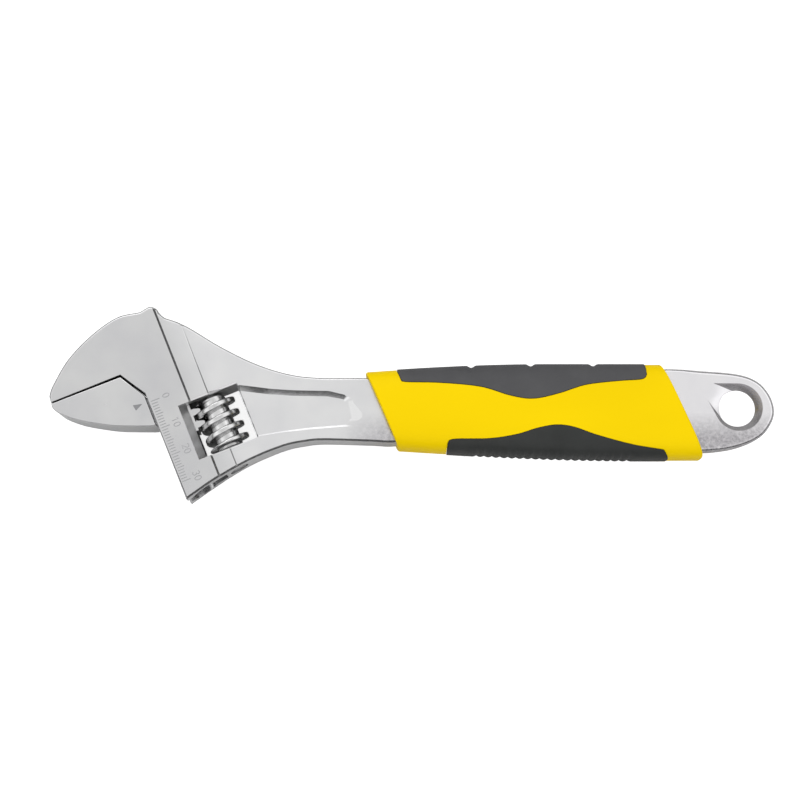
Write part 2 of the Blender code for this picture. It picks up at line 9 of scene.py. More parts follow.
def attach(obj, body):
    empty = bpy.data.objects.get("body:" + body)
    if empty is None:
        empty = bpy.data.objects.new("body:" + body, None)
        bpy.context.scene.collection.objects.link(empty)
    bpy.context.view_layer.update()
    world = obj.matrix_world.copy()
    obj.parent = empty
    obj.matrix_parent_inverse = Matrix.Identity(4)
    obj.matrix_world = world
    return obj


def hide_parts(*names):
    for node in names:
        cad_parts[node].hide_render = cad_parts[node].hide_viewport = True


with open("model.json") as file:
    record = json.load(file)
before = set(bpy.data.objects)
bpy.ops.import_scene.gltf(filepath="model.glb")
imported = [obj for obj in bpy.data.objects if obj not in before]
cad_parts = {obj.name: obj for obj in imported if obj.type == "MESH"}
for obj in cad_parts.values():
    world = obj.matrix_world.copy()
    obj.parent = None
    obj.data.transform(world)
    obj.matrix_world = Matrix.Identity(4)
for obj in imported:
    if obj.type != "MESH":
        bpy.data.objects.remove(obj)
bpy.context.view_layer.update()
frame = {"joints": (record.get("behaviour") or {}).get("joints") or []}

# The wrench's own axes: millimetres, X along the handle, the middle plane at Z = 0.
# Head pieces are laid out along U, the way the movable jaw opens, and V, from the slide edge back.
MM = 0.001
HALF_LENGTH = 125.0
HEAD_ANGLE = 22.5
SLIDE_TOP = Vector((-92.1, 2.9))
WORM_MIDDLE_U = 18.3
WORM_V = 20.1
GAP = 0.3

# The forging: distance along V and half thickness, as in the CAD model.
HEAD_HALF = 7.5
HEAD_END_V = 12.9
BAND_END_V = 19.8
FORGING_PROFILE = (
    (-60.0, HEAD_HALF),
    (HEAD_END_V, HEAD_HALF),
    (HEAD_END_V + 0.7, 6.9),
    (BAND_END_V, 6.6),
    (BAND_END_V + 0.4, 6.3),
    (42.0, 5.8),
    (74.0, 5.3),
    (88.0, 4.8),
    (110.0, 3.9),
    (150.0, 3.5),
    (175.0, 3.3),
    (260.0, 3.3),
)
FORGING_EDGE = 0.9
LOWER_CHAMFER = 0.62
HANDLE_END_EDGE = 1.7
# The outline's first points, on the fixed jaw's face and in its throat, keep a crisp edge.
CRISP_POINTS = 3
CRISP_EDGE = 0.3
BLANK_REACH = 20.0
JAW_FACE_U = -9.4
THROAT_V = -5.6
TIP_V = -31.0
SLIDE_LENGTH = 39.6
KNOB_CENTRE = Vector((-91.1, 31.0))
KNOB_RADIUS = 2.75
WINDOW_U = (8.4, 28.6)
WINDOW_V = (11.3, 30.0)
WINDOW_SLOPE_V = 8.9
WINDOW_SLOPE_DEPTH = 3.9
WINDOW_EDGE = 0.45
RECESS_FLOOR = 4.2
RECESS_START_X = -60.0
RECESS_FALL = 0.008
RECESS_RIM = 6.0
# Where the recess's sloped end lies.
RECESS_END_X = (-22.4, -17.6)
RECESS_END_Y = (-6.2, 0.8)
RECESS_END_Z = (4.05, 5.25)
BORE_V = 6.6
BORE_RADIUS = 5.3
BORE_TOP_U = -20.0
SLOT_HALF_WIDTH = 2.75
SLOT_TOP_U = 0.3

# Worm, rack and jaw.
WORM_LEAD = 4.5
WORM_TIP_RADIUS = 7.4
WORM_ROOT_RADIUS = 4.5
WORM_BORE_RADIUS = 2.2
WORM_U = (9.0, 28.0)
WORM_THREAD_START_U = 9.9
RIDGE_AT_RACK_U = 14.1
WORM_SEGMENTS = 72
SPRING_SEAT_RADIUS = 3.6
SPRING_SEAT_DEPTH = 5.2
SHANK_RADIUS = 5.0
SHANK_U = (-19.4, 27.0)
RACK_ROOT_V = 12.2
RACK_TIP_V = 15.2
RACK_HALF_WIDTH = 3.0
RACK_TEETH = 8
TOOTH_BASE = 2.3
TOOTH_TIP = 1.0
TOOTH_SLANT = -0.1075
JAW_HALF = 7.0
JAW_WEB_U = (0.9, 10.4)
JAW_WEB_HALF_WIDTH = 2.35
JAW_BACK_V = -0.5
JAW_EDGE = 0.4
SHANK_CHAMFER = 0.6

# Pin, spring and hanging hole.
PIN_RADIUS = 1.9
PIN_U = (3.0, 34.3)
PIN_HEAD_RADIUS = 3.0
PIN_HEAD_LENGTH = 2.2
PIN_SLOT_WIDTH = 0.8
PIN_SLOT_DEPTH = 0.9
SPRING_RADIUS = 2.9
SPRING_WIRE = 0.35
SPRING_TURNS = 4
SPRING_U = (9.25, 13.4)
HOLE_CENTRE = Vector((112.4, -1.1))
HOLE_RADIUS = 6.35
HOLE_SEAT_RADIUS = 6.4
HOLE_RIM_RADIUS = 8.35
HOLE_RIM_DEPTH = 3.1
HOLE_RAMP = (Vector((-8.4, 8.4)), Vector((-10.8, 2.8)))

# Grip.
GRIP_HALF_THICKNESS = 9.3
GRIP_ROUNDNESS = 3.4
GRIP_END_X = (-10.9, 92.4)
GRIP_END_ROUND = 0.6
GRIP_STEPS = 60
PAD_THICKNESS = 1.8
PAD_PROUD = 0.25
PAD_SEAM = 0.2
PAD_REACH = 20.0
NOTCH_X = (20.1, 40.7, 62.3)
NOTCH_WIDTH = 3.6
NOTCH_DEPTH = 0.8
RIB_X = (20.5, 75.5)
RIB_PITCH = 2.75
RIB_DEPTH = 0.5
UPPER_PAD_STEPS = 220
LOWER_PAD_STEPS = 330

# Engraved scale on the head, one tick a millimetre.
SCALE_START_U = 3.5
SCALE_LENGTH = 30
SCALE_DEPTH = 0.22
TICK_V = 0.9
TICK_LENGTHS = {0: 3.1, 5: 2.6}
TICK_LENGTH = 2.1
TICK_WIDTH = 0.34
CUT_CLEAR = 0.5
NUMERAL_HEIGHT = 2.6
NUMERAL_V = 6.4
NUMERAL_SPACING = 0.7

tools = []


def head_point(u, v, z=0.0):
    """A point given in the head's axes, in the wrench's own axes."""
    angle = math.radians(HEAD_ANGLE)
    x = SLIDE_TOP.x + u * math.sin(angle) + v * math.cos(angle)
    y = SLIDE_TOP.y - u * math.cos(angle) + v * math.sin(angle)
    return Vector((x, y, z))


# The worm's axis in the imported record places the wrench's own axes in the frame.
joints = {joint["name"]: joint for joint in frame["joints"]}
ORIGIN = Vector(joints["worm_spin"]["pos_m"]) / MM - head_point(WORM_MIDDLE_U, WORM_V)


def head_matrix(u, v, turn_deg=0.0):
    """Puts a piece's own Z along U, its X along V and its origin at the given U and V."""
    angle = math.radians(HEAD_ANGLE)
    along_u = Vector((math.sin(angle), -math.cos(angle), 0.0))
    along_v = Vector((math.cos(angle), math.sin(angle), 0.0))
    axes = Matrix((along_v, along_u.cross(along_v), along_u)).transposed().to_4x4()
    turn = Matrix.Rotation(math.radians(turn_deg), 4, "Z")
    return Matrix.Translation(head_point(u, v)) @ axes @ turn


def along_v_of(point):
    """Distance of a point from the slide edge, measured along V."""
    angle = math.radians(HEAD_ANGLE)
    return (point.x - SLIDE_TOP.x) * math.cos(angle) + (point.y - SLIDE_TOP.y) * math.sin(angle)


def forging_half_thickness(v):
    """Half thickness of the forging at a distance V from the slide edge."""
    for (start, thick_a), (end, thick_b) in zip(FORGING_PROFILE, FORGING_PROFILE[1:]):
        if v <= end:
            part = max(0.0, (v - start) / (end - start))
            return thick_a + (thick_b - thick_a) * part
    return FORGING_PROFILE[-1][1]


def smooth_run(points, steps):
    """A Catmull-Rom curve through the points, without the last point itself."""
    ends = [points[0] * 2.0 - points[1], *points, points[-1] * 2.0 - points[-2]]
    curve = []
    for a, b, c, d in zip(ends, ends[1:], ends[2:], ends[3:]):
        for step in range(steps):
            t = step / steps
            curve.append(
                0.5 * (2.0 * b + (c - a) * t + (2.0 * a - 5.0 * b + 4.0 * c - d) * t ** 2
                       + (3.0 * b - a - 3.0 * c + d) * t ** 3)
            )
    return curve


def arc(centre, radius, start, end, steps):
    """Points on an arc, from one angle to another in degrees, both ends included."""
    points = []
    for step in range(steps + 1):
        angle = math.radians(start + (end - start) * step / steps)
        points.append(centre + radius * Vector((math.cos(angle), math.sin(angle))))
    return points


def vectors(pairs):
    return [Vector(pair) for pair in pairs]


def offset(outline, distance):
    """The closed outline moved outwards by a distance; it runs counter-clockwise."""
    moved = []
    for index, here in enumerate(outline):
        before = (here - outline[index - 1]).normalized()
        after = (outline[(index + 1) % len(outline)] - here).normalized()
        normal = Vector((before.y + after.y, -before.x - after.x)).normalized()
        spread = max(0.5, normal.dot(Vector((after.y, -after.x))))
        moved.append(here + normal * distance / spread)
    return moved


def edge_steps(edge, count):
    """Inset and drop pairs of a quarter-round edge, from the flat face to the side."""
    pairs = []
    for step in range(count + 1):
        angle = math.pi / 2.0 * step / count
        pairs.append((edge * (1.0 - math.sin(angle)), edge * (1.0 - math.cos(angle))))
    return pairs


def stack(rings):
    """A closed mesh through a stack of rings that all have the same number of points."""
    mesh = bmesh.new()
    levels = [[mesh.verts.new(point) for point in ring] for ring in rings]
    count = len(levels[0])
    for low, high in zip(levels, levels[1:]):
        for index in range(count):
            other = (index + 1) % count
            mesh.faces.new((low[index], low[other], high[other], high[index]))
    mesh.faces.new(levels[0][::-1])
    mesh.faces.new(levels[-1])
    return mesh


def prism(outline, low, high):
    """A straight prism on a flat outline."""
    return stack([[Vector((p.x, p.y, z)) for p in outline] for z in (low, high)])


def rounded_plate(outline, half, edge, steps):
    """A flat plate about Z = 0 with quarter-round edges."""
    rings = []
    for side, pairs in ((-1, edge_steps(edge, steps)), (1, edge_steps(edge, steps)[::-1])):
        for inset, drop in pairs:
            rings.append([Vector((p.x, p.y, side * (half - drop))) for p in offset(outline, -inset)])
    return stack(rings)


def turned(profile, segments):
    """A body turned about Z from a profile of radius and height pairs, low end first."""
    rings = []
    for radius, height in profile:
        rings.append([p.to_3d() + Vector((0.0, 0.0, height))
                      for p in arc(Vector((0.0, 0.0)), radius, 0.0, 360.0, segments)[:-1]])
    return stack(rings)


def head_box(u_range, v_range, half_z):
    """A box in the head's axes, centred on the middle plane."""
    corners = ((u_range[0], v_range[0]), (u_range[1], v_range[0]),
               (u_range[1], v_range[1]), (u_range[0], v_range[1]))
    return prism([head_point(u, v).xy for u, v in corners], -half_z, half_z)


def new_piece(name, mesh, matrix=None):
    """Turns a mesh in the wrench's own millimetres into an object in the frame's metres."""
    if matrix is not None:
        bmesh.ops.transform(mesh, matrix=matrix, verts=mesh.verts)
    bmesh.ops.recalc_face_normals(mesh, faces=mesh.faces)
    bmesh.ops.translate(mesh, vec=ORIGIN, verts=mesh.verts)
    bmesh.ops.scale(mesh, vec=Vector((MM, MM, MM)), verts=mesh.verts)
    data = bpy.data.meshes.new(name)
    mesh.to_mesh(data)
    mesh.free()
    piece = bpy.data.objects.new(name, data)
    bpy.context.scene.collection.objects.link(piece)
    return piece


def tool(name, mesh, matrix=None):
    """A shape that only cuts or joins; settle() removes it when its piece is done."""
    shape = new_piece(name, mesh, matrix)
    tools.append(shape)
    return shape


def combine(piece, shape, operation="DIFFERENCE"):
    step = piece.modifiers.new(shape.name, "BOOLEAN")
    step.operation = operation
    step.solver = "EXACT"
    step.object = shape


def soften(piece, width, segments=2, angle=35.0):
    """Takes the sharp edges off a piece."""
    step = piece.modifiers.new("soften", "BEVEL")
    step.width = width * MM
    step.segments = segments
    step.limit_method = "ANGLE"
    step.angle_limit = math.radians(angle)
    step.use_clamp_overlap = True
    step.miter_outer = "MITER_ARC"


def settle(piece, smooth_angle=32.0):
    """Applies the piece's modifiers, removes the shapes that made it and sets its shading."""
    bpy.context.view_layer.update()
    graph = bpy.context.evaluated_depsgraph_get()
    made = bpy.data.meshes.new_from_object(piece.evaluated_get(graph), depsgraph=graph)
    piece.modifiers.clear()
    piece.data = made
    while tools:
        bpy.data.objects.remove(tools.pop(), do_unlink=True)
    made.shade_smooth()
    made.set_sharp_from_angle(angle=math.radians(smooth_angle))
    normals = piece.modifiers.new("face_weighted_normals", "WEIGHTED_NORMAL")
    normals.keep_sharp = True
    normals.weight = 100


# Materials

def new_material(name, metallic=0.0):
    material = bpy.data.materials.new(name)
    material.use_nodes = True
    tree = material.node_tree
    shader = tree.nodes["Principled BSDF"]
    shader.inputs["Metallic"].default_value = metallic
    return material, tree, shader


def node(tree, kind, values=None, **settings):
    """Adds a node; values fill its sockets, with a number or with another node's socket."""
    made = tree.nodes.new(kind)
    for name, value in settings.items():
        setattr(made, name, value)
    for name, value in (values or {}).items():
        if isinstance(value, bpy.types.NodeSocket):
            tree.links.new(value, made.inputs[name])
        else:
            made.inputs[name].default_value = value
    return made


def stretched(tree, scale):
    """Object coordinates stretched by a scale for each axis."""
    place = node(tree, "ShaderNodeTexCoord")
    mapping = node(tree, "ShaderNodeMapping", {"Vector": place.outputs["Object"], "Scale": scale})
    return mapping.outputs["Vector"]


def noise(tree, size_mm, detail=3.0, rough=0.5, stretch=(1.0, 1.0, 1.0)):
    """Noise whose features are about size_mm wide."""
    made = node(tree, "ShaderNodeTexNoise",
                {"Vector": stretched(tree, stretch), "Scale": 1.0 / (size_mm * MM),
                 "Detail": detail, "Roughness": rough})
    return made.outputs["Fac"]


def spread(tree, value, low, high, start=0.3, end=0.7):
    """Maps a noise value onto the range from low to high."""
    made = node(tree, "ShaderNodeMapRange",
                {"Value": value, "From Min": start, "From Max": end, "To Min": low, "To Max": high})
    return made.outputs["Result"]


def mixed(tree, factor, low, high):
    """Mixes two colours, or two sockets, by a factor."""
    made = node(tree, "ShaderNodeMix", data_type="RGBA")
    tree.links.new(factor, made.inputs[0])
    for slot, value in ((6, low), (7, high)):
        if isinstance(value, bpy.types.NodeSocket):
            tree.links.new(value, made.inputs[slot])
        else:
            made.inputs[slot].default_value = (*value, 1.0)
    return made.outputs[2]


def bumped(tree, height, depth_mm, strength, under=None):
    """A bump of a depth, on top of another one if there is one."""
    made = node(tree, "ShaderNodeBump",
                {"Height": height, "Strength": strength, "Distance": depth_mm * MM})
    if under is not None:
        tree.links.new(under, made.inputs["Normal"])
    return made.outputs["Normal"]


def maths(tree, operation, first, second):
    """A sum, product or the like of two numbers or sockets."""
    return node(tree, "ShaderNodeMath", {0: first, 1: second}, operation=operation).outputs[0]


def head_axes(tree):
    """Sockets with a point's U and V in millimetres and its height over the middle plane."""
    place = node(tree, "ShaderNodeTexCoord")
    corner = (ORIGIN + head_point(0.0, 0.0)) * MM
    shifted = node(tree, "ShaderNodeVectorMath", {0: place.outputs["Object"], 1: corner},
                   operation="SUBTRACT").outputs[0]
    along = []
    for direction in (head_point(1.0, 0.0) - head_point(0.0, 0.0),
                      head_point(0.0, 1.0) - head_point(0.0, 0.0), Vector((0.0, 0.0, 1.0))):
        part = node(tree, "ShaderNodeVectorMath", {0: shifted, 1: direction / MM},
                    operation="DOT_PRODUCT")
        along.append(part.outputs["Value"])
    return along


def inside(tree, value, low, high, blur=0.15):
    """1 where a value lies between low and high, and 0 outside, with soft borders."""
    rising = spread(tree, value, 0.0, 1.0, low - blur, low + blur)
    falling = spread(tree, value, 1.0, 0.0, high - blur, high + blur)
    return maths(tree, "MULTIPLY", rising, falling)


def product(tree, first, *others):
    """The product of several masks."""
    for other in others:
        first = maths(tree, "MULTIPLY", first, other)
    return first


def mark_floor(tree, height, face):
    """1 at the depth of an engraved mark's bottom under a face, from the height over the middle."""
    return inside(tree, height, face - SCALE_DEPTH - 0.05, face - SCALE_DEPTH * 0.5, 0.03)


def engraved(tree, axes):
    """1 in the bottoms of the engraved marks on the head's front face."""
    along_u, along_v, height = axes
    return product(tree, mark_floor(tree, height, HEAD_HALF), inside(tree, along_v, -6.0, 8.4),
                   inside(tree, along_u, 0.8, 36.0))


def satin_skin(tree, shader, roughness, brushed, under=None):
    """Fine grinding marks in the gloss, a faint grain and slow waves in the surface."""
    grinding = noise(tree, 0.6, 4.0, 0.6, brushed)
    gloss = spread(tree, grinding, -0.025, 0.035)
    tree.links.new(maths(tree, "ADD", gloss, roughness), shader.inputs["Roughness"])
    grain = bumped(tree, grinding, 0.004, 0.15, under)
    waves = bumped(tree, noise(tree, 9.0, 2.0), 0.05, 0.12, grain)
    tree.links.new(waves, shader.inputs["Normal"])


def jaw_chrome():
    """Satin chrome on the movable jaw, ground across its face, with painted shade in the bottom of its
    engraved pointer.
    """
    material, tree, shader = new_material("jaw_chrome", 1.0)
    clouds = spread(tree, noise(tree, 14.0), 0.0, 1.0)
    clean = mixed(tree, clouds, (0.57, 0.57, 0.58), (0.63, 0.63, 0.63))
    axes = head_axes(tree)
    # Painted shade: the bottom of the engraved pointer is coloured darker, as if in shadow.
    etched = product(tree, mark_floor(tree, axes[2], JAW_HALF), inside(tree, axes[1], -6.0, -1.6))
    tree.links.new(mixed(tree, etched, clean, (0.3, 0.3, 0.31)), shader.inputs["Base Color"])
    satin_skin(tree, shader, 0.24, (1.0, 0.25, 1.0))
    return material


def recess_end(tree, own, height):
    """1 on the sloped end of the neck's recess, which gets a painted highlight."""
    blur = 0.3 * MM
    return product(tree, inside(tree, own["X"], RECESS_END_X[0] * MM, RECESS_END_X[1] * MM, blur),
                   inside(tree, own["Y"], RECESS_END_Y[0] * MM, RECESS_END_Y[1] * MM, blur),
                   inside(tree, height, *RECESS_END_Z, 0.08))


def flare_floor(tree, place, own):
    """1 on the lower half of the hanging hole's flare, which gets painted shade."""
    middle = ((ORIGIN + HOLE_CENTRE.to_3d()) * MM).xy.to_3d()
    level = node(tree, "ShaderNodeVectorMath", {0: place, 1: (1.0, 1.0, 0.0)}, operation="MULTIPLY")
    reach = node(tree, "ShaderNodeVectorMath", {0: level.outputs[0], 1: middle}, operation="DISTANCE")
    flare = inside(tree, reach.outputs["Value"], 5.0 * MM, (HOLE_RIM_RADIUS - 0.1) * MM, 0.1 * MM)
    lower = spread(tree, own["Y"], 1.0, 0.0, middle.y - 4.0 * MM, middle.y + 1.0 * MM)
    return product(tree, flare, lower)


def window_walls(tree, axes):
    """1 on the window's broached walls, which are duller than the outside."""
    along_u, along_v, height = axes
    return product(tree, inside(tree, along_u, WINDOW_U[0] - 0.4, WINDOW_U[1] + 0.4),
                   inside(tree, along_v, WINDOW_SLOPE_V - 0.1, WINDOW_V[1]),
                   spread(tree, height, 1.0, 0.0, HEAD_HALF - 0.2, HEAD_HALF - 0.02))


def body_chrome():
    """The forging's chrome: ground on the head, brighter on the neck, pickled at the handle's end."""
    material, tree, shader = new_material("satin_chrome", 1.0)
    axes = head_axes(tree)
    place = node(tree, "ShaderNodeTexCoord").outputs["Object"]
    own = node(tree, "ShaderNodeSeparateXYZ", {"Vector": place}).outputs
    clouds = spread(tree, noise(tree, 14.0), 0.0, 1.0)
    head = mixed(tree, clouds, (0.57, 0.57, 0.58), (0.62, 0.62, 0.62))
    neck = mixed(tree, clouds, (0.69, 0.69, 0.7), (0.75, 0.75, 0.75))
    bright = mixed(tree, clouds, (0.76, 0.75, 0.77), (0.81, 0.8, 0.81))
    past_band = spread(tree, axes[1], 0.0, 1.0, HEAD_END_V, BAND_END_V + 3.0)
    handle_end = spread(tree, own["X"], 0.0, 1.0, 60.0 * MM, 80.0 * MM)
    clean = mixed(tree, handle_end, mixed(tree, past_band, head, neck), bright)
    # The pickled mottling is strongest along the lower side and fades out towards the head.
    mottle = spread(tree, noise(tree, 1.3, 6.0, 0.7), 0.0, 1.0, 0.4, 0.62)
    mottled = mixed(tree, mottle, (0.36, 0.35, 0.365), (0.56, 0.545, 0.56))
    near_grip = spread(tree, own["X"], 0.0, 0.8, -26.0 * MM, -10.0 * MM)
    low_side = spread(tree, own["Y"], 1.0, 0.04, -12.0 * MM, -3.0 * MM)
    patchy = product(tree, maths(tree, "MAXIMUM", near_grip, handle_end), low_side)
    clean = mixed(tree, patchy, clean, mottled)
    # Painted shade: the bottoms of the engraved scale marks are coloured darker, as if in shadow.
    clean = mixed(tree, engraved(tree, axes), clean, (0.48, 0.48, 0.49))
    # Painted highlight: the recess's sloped end is coloured brighter, as if it caught the light.
    clean = mixed(tree, recess_end(tree, own, axes[2]), clean, (0.8, 0.8, 0.8))
    # Painted shade: the lower half of the hanging hole's flare is coloured darker.
    clean = mixed(tree, flare_floor(tree, place, own), clean, (0.44, 0.43, 0.44))
    tree.links.new(clean, shader.inputs["Base Color"])
    roughness = spread(tree, window_walls(tree, axes), 0.23, 0.42, 0.0, 1.0)
    pits = product(tree, noise(tree, 0.9, 4.0, 0.6), patchy)
    satin_skin(tree, shader, roughness, (1.0, 0.25, 1.0), bumped(tree, pits, 0.12, 0.5))
    return material


def turned_steel(name, dark, light, roughness):
    """Turned and plated steel, with tool marks round the screw's axis."""
    material, tree, shader = new_material(name, 1.0)
    clouds = spread(tree, noise(tree, 3.0), 0.0, 1.0)
    tree.links.new(mixed(tree, clouds, dark, light), shader.inputs["Base Color"])
    marks = noise(tree, 0.3, 3.0, 0.6)
    tree.links.new(spread(tree, marks, roughness - 0.04, roughness + 0.08), shader.inputs["Roughness"])
    tree.links.new(bumped(tree, marks, 0.004, 0.3), shader.inputs["Normal"])
    return material


def moulded_plastic():
    """The grip's hard yellow sleeve: satin, with a very fine mould grain and a soft flow pattern."""
    material, tree, shader = new_material("yellow_plastic")
    flow = spread(tree, noise(tree, 22.0, 2.0, 0.4, (0.4, 1.0, 1.0)), 0.0, 1.0)
    tree.links.new(mixed(tree, flow, (0.95, 0.665, 0.0), (1.0, 0.71, 0.0)), shader.inputs["Base Color"])
    grain = noise(tree, 0.45, 3.0, 0.6)
    tree.links.new(spread(tree, grain, 0.36, 0.5), shader.inputs["Roughness"])
    tree.links.new(bumped(tree, grain, 0.03, 0.22), shader.inputs["Normal"])
    shader.inputs["Specular IOR Level"].default_value = 0.05
    return material


def soft_rubber(name, dark, light, roughness):
    """Soft thermoplastic: matte, with a fine pebbled grain and slightly uneven colour."""
    material, tree, shader = new_material(name)
    patches = spread(tree, noise(tree, 9.0), 0.0, 1.0)
    tree.links.new(mixed(tree, patches, dark, light), shader.inputs["Base Color"])
    grain = noise(tree, 0.38, 4.0, 0.65)
    tree.links.new(spread(tree, grain, roughness - 0.08, roughness + 0.08), shader.inputs["Roughness"])
    tree.links.new(bumped(tree, grain, 0.05, 0.35), shader.inputs["Normal"])
    shader.inputs["Specular IOR Level"].default_value = 0.25
    return material


def finish(piece, material, body, slot, *nodes):
    """Gives a piece its material and its CAD body, and hides the CAD nodes that it stands for; the slot
    is not used.
    """
    piece.data.materials.clear()
    piece.data.materials.append(material)
    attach(piece, body)
    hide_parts(*nodes)


# The forging

def body_outline():
    """The forging's outline, counter-clockwise from the tip of the fixed jaw."""
    outline = [
        head_point(JAW_FACE_U, TIP_V).xy,
        head_point(JAW_FACE_U, THROAT_V).xy,
        head_point(0.0, 0.0).xy,
        head_point(SLIDE_LENGTH, 0.0).xy,
    ]
    lower_neck = ((-75.6, -32.6), (-66.5, -26.2), (-55.7, -19.9), (-44.8, -15.3),
                  (-37.4, -13.6), (-30.5, -13.0), (-15.0, -13.4), (-7.0, -13.7), (4.0, -12.4))
    handle_end = ((76.0, -12.8), (89.0, -15.4), (98.6, -16.6), (110.4, -15.3), (119.3, -11.7),
                  (123.8, -6.5), (HALF_LENGTH, -1.6), (123.3, 3.9), (119.2, 8.4), (112.0, 10.9),
                  (98.0, 12.1), (92.0, 12.5), (86.0, 12.3), (81.0, 10.0), (76.0, 8.6))
    upper_neck = ((4.0, 7.6), (-16.3, 8.9), (-32.1, 8.9), (-43.2, 10.2), (-55.0, 14.0),
                  (-67.1, 20.0), (-79.1, 27.2), (-87.4, 30.3))
    fixed_jaw = ((-95.0, 31.8), (-103.0, 29.8), (-111.6, 23.4), (-119.1, 15.0),
                 (-123.9, 6.0), (-HALF_LENGTH, 2.4), (-124.9, 1.2))
    outline += smooth_run(vectors(lower_neck), 8)
    outline += smooth_run(vectors(handle_end), 8)
    outline += smooth_run(vectors(upper_neck), 8)
    outline += arc(KNOB_CENTRE, KNOB_RADIUS, 12.0, 120.0, 10)
    outline += smooth_run(vectors(fixed_jaw), 8)
    return outline


def blank_edges(outline, outwards, edge, steps):
    """The inset and drop pairs of the forging's edge, for each point of its outline."""
    profiles = []
    for index, (here, outward) in enumerate(zip(outline, outwards)):
        if index < CRISP_POINTS:
            profiles.append(edge_steps(CRISP_EDGE, steps))
            continue
        # The lower side has a flat chamfer, and the handle's end is rounded more than the rest.
        far = min(1.0, max(0.0, (here.x - 80.0) / 20.0))
        low = min(1.0, max(0.0, (-outward.normalized().y - 0.5) / 0.3)) * (1.0 - far)
        size = edge + (HANDLE_END_EDGE - edge) * far
        profiles.append([
            (inset + (LOWER_CHAMFER * (1.0 - step / steps) - inset) * low,
             drop + (LOWER_CHAMFER * step / steps - drop) * low)
            for step, (inset, drop) in enumerate(edge_steps(size, steps))])
    return profiles


def forging_blank(margin, edge, steps):
    """The forging before anything is cut into it, grown by a margin on every side."""
    outline = offset(body_outline(), margin) if margin else body_outline()
    outwards = [moved - here for moved, here in zip(offset(outline, 1.0), outline)]
    profiles = blank_edges(outline, outwards, edge, steps)
    rings = []
    for side, order in ((-1, range(steps + 1)), (1, range(steps, -1, -1))):
        for step in order:
            ring = []
            for here, outward, profile in zip(outline, outwards, profiles):
                inset, drop = profile[step]
                flat = here - outward * inset
                ring.append(Vector((flat.x, flat.y, side * (BLANK_REACH - drop))))
            rings.append(ring)
    mesh = stack(rings)
    for station, _ in FORGING_PROFILE[1:-1]:
        bmesh.ops.bisect_plane(
            mesh, geom=mesh.verts[:] + mesh.edges[:] + mesh.faces[:], dist=0.001,
            plane_co=head_point(0.0, station), plane_no=head_point(0.0, 1.0) - head_point(0.0, 0.0))
    # The blank is drawn BLANK_REACH thick, and each point then drops to the thickness at its V.
    for vert in mesh.verts:
        drop = BLANK_REACH - abs(vert.co.z)
        height = forging_half_thickness(along_v_of(vert.co)) + margin - drop
        vert.co.z = math.copysign(height, vert.co.z)
    return mesh


def window_tool():
    """The worm's window, with a sloped wall on its rack side and a small edge on the other."""
    outside = HEAD_HALF + 2.0
    deep = HEAD_HALF - WINDOW_SLOPE_DEPTH
    edge_v = WINDOW_V[1] + WINDOW_EDGE
    edge_z = RECESS_FLOOR - WINDOW_EDGE
    upper_half = ((WINDOW_V[1], edge_z), (edge_v, RECESS_FLOOR), (edge_v, outside),
                  (WINDOW_SLOPE_V, outside), (WINDOW_SLOPE_V, HEAD_HALF), (WINDOW_V[0], deep))
    section = [*upper_half, *((v, -z) for v, z in upper_half[::-1])]
    return tool("window", stack([[head_point(u, v, z) for v, z in section] for u in WINDOW_U]))


def bore_tools():
    """The round bore for the jaw's shank, its slot, and the channel that the rack runs in."""
    reach = SLIDE_LENGTH + 6.0
    bore = turned(((BORE_RADIUS, 0.0), (BORE_RADIUS, reach - BORE_TOP_U)), 64)
    channel = head_box((BORE_TOP_U + 0.4, reach), (BORE_V, RACK_TIP_V + GAP), RACK_HALF_WIDTH + GAP)
    return (
        tool("bore", bore, head_matrix(BORE_TOP_U, BORE_V)),
        tool("slot", head_box((SLOT_TOP_U, reach), (-3.0, BORE_V), SLOT_HALF_WIDTH)),
        tool("rack_channel", channel),
    )


def pin_hole_tool():
    """Hole for the worm's pin, with the counterbore for its head at the lower edge."""
    start = PIN_U[0] - GAP
    shoulder = PIN_U[1] - PIN_HEAD_LENGTH - GAP - start
    profile = ((PIN_RADIUS + GAP, 0.0), (PIN_RADIUS + GAP, shoulder),
               (PIN_HEAD_RADIUS + GAP, shoulder), (PIN_HEAD_RADIUS + GAP, shoulder + 12.0))
    return tool("pin_hole", turned(profile, 48), head_matrix(start, WORM_V))


def neck_recess_tool(side):
    """The long panel sunk into one face of the neck, from the window towards the grip."""
    # Both rings run from the window's upper corner down, along the neck, and back.
    floor = [head_point(u, v).xy for u, v in ((9.2, 20.4), (26.0, 20.4), (27.5, 29.0))]
    floor += vectors(((-44.5, -9.6), (-36.0, -8.5), (-23.4, -7.4), (-21.8, -5.1), (-23.0, 0.1),
                      (-24.5, 1.6), (-29.4, 2.5), (-41.6, 2.7), (-49.5, 3.2), (-59.7, 4.4)))
    rim = [head_point(u, v).xy for u, v in ((7.5, 20.4), (27.0, 20.4), (28.1, 29.0))]
    rim += vectors(((-44.4, -10.4), (-36.1, -9.5), (-20.6, -8.4), (-14.6, -4.2), (-19.7, 1.9),
                    (-23.4, 3.2), (-29.4, 4.6), (-41.5, 4.6), (-49.5, 5.0), (-59.7, 6.1)))
    rings = [[Vector((p.x, p.y, side * (RECESS_FLOOR - RECESS_FALL * (p.x - RECESS_START_X))))
              for p in floor]]
    rings += [[Vector((p.x, p.y, side * z)) for p in rim] for z in (RECESS_RIM, HEAD_HALF + 1.0)]
    return tool(f"neck_recess_{side}", stack(rings))


